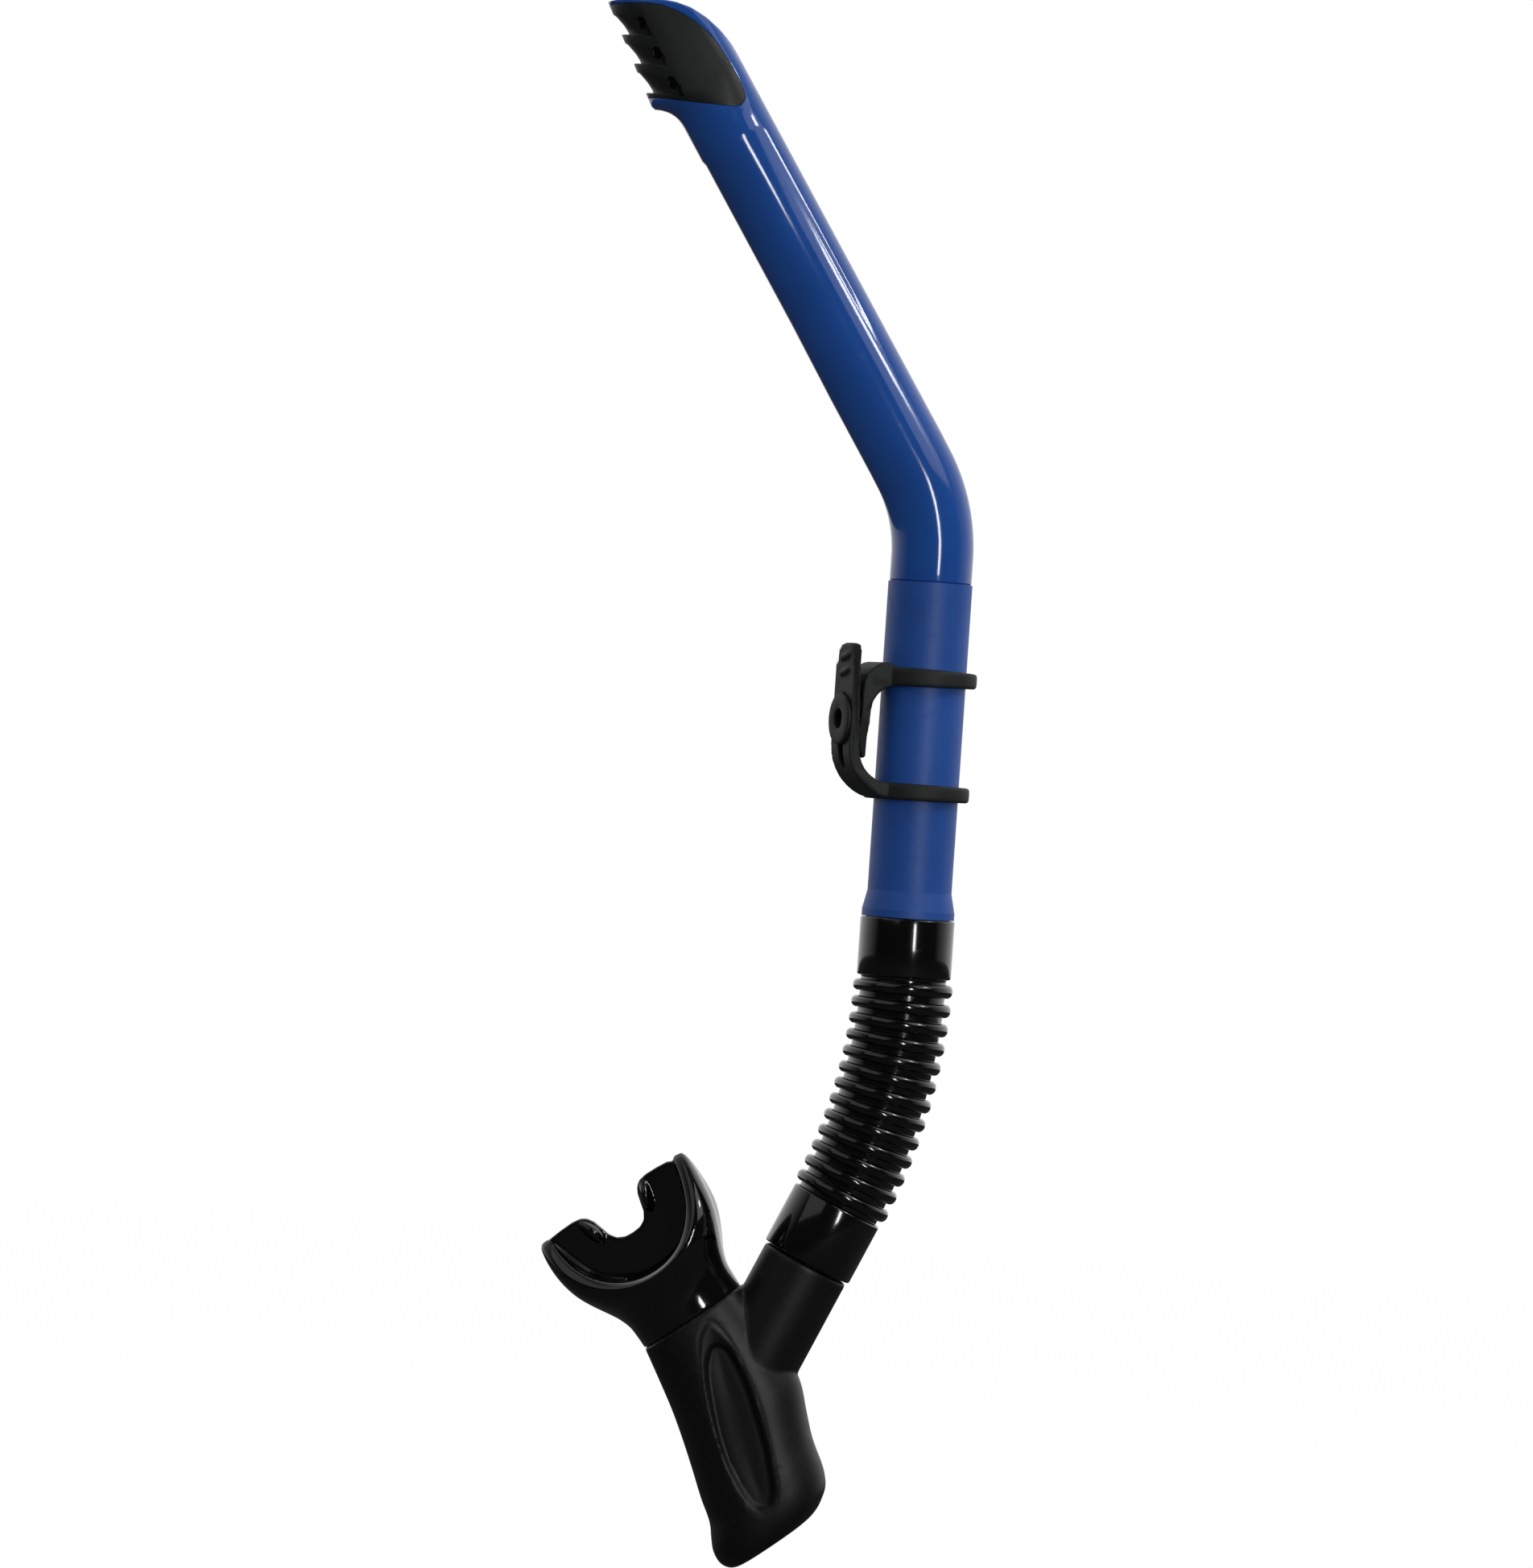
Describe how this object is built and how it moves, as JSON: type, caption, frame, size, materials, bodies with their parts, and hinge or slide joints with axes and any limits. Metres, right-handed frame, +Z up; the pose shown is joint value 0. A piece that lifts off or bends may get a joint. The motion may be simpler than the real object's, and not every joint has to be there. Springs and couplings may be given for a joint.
{
  "type": "snorkel",
  "caption": "Snorkel with a bent tube and slotted splash hood, corrugated drop-away hose, purge housing, lip mouthpiece and mask strap keeper.",
  "frame": {"origin": "on the axis of the straight lower tube, midway between the two rings of the keeper, where the mask strap holds the snorkel", "axes": "+Z up along the straight lower tube, -X towards the mouthpiece and the hood, +Y across the snorkel's plane"},
  "size_m": [0.118, 0.034, 0.4407],
  "materials": {
    "gloss_blue": "polished translucent moulding",
    "matte_blue": "fine spark-eroded grain",
    "satin_black": "satin moulding",
    "keeper_rubber": "matte rubber",
    "hose_silicone": "glossy silicone",
    "mouth_silicone": "glossy silicone",
    "housing_black": "fine spark-eroded grain",
    "valve_silicone": "smooth silicone"
  },
  "bodies": {
    "keeper": {"keeper_lower_loop": "keeper_rubber"},
    "keeper_upper": {"keeper_upper_loop": "keeper_rubber", "keeper_button": "keeper_rubber"},
    "straight_tube": {"lower_tube": "matte_blue"},
    "tube": {"upper_tube": "gloss_blue", "splash_guard": "satin_black", "flex_hose": "hose_silicone"},
    "housing": {"purge_housing": "housing_black", "valve_seat": "housing_black", "purge_cover": "housing_black", "mouthpiece": "mouth_silicone"},
    "valve": {"purge_valve": "valve_silicone"}
  },
  "joints": [
    {"name": "keeper_adjust", "type": "slide", "parent": "keeper", "child": "keeper_upper", "axis": [0, 0, 1], "range_m": [-0.003, 0.004]},
    {"name": "tube_slide", "type": "slide", "parent": "keeper", "child": "straight_tube", "axis": [0, 0, 1], "range_m": [-0.022, 0.022]},
    {"name": "tube_turn", "type": "hinge", "parent": "straight_tube", "child": "tube", "pos_m": [0, 0, 0], "axis": [0, 0, 1], "continuous": true},
    {"name": "hose_bend", "type": "hinge", "parent": "tube", "child": "housing", "pos_m": [-0.00369, 0, -0.10237], "axis": [0, 1, 0], "range_deg": [-24, 45], "stiffness_Nm_per_rad": 0.4, "deforming": ["flex_hose"]},
    {"name": "purge_open", "type": "slide", "parent": "housing", "child": "valve", "axis": [0.6143, 0, -0.7891], "range_m": [0, 0.0015], "stiffness_N_per_m": 60}
  ]
}
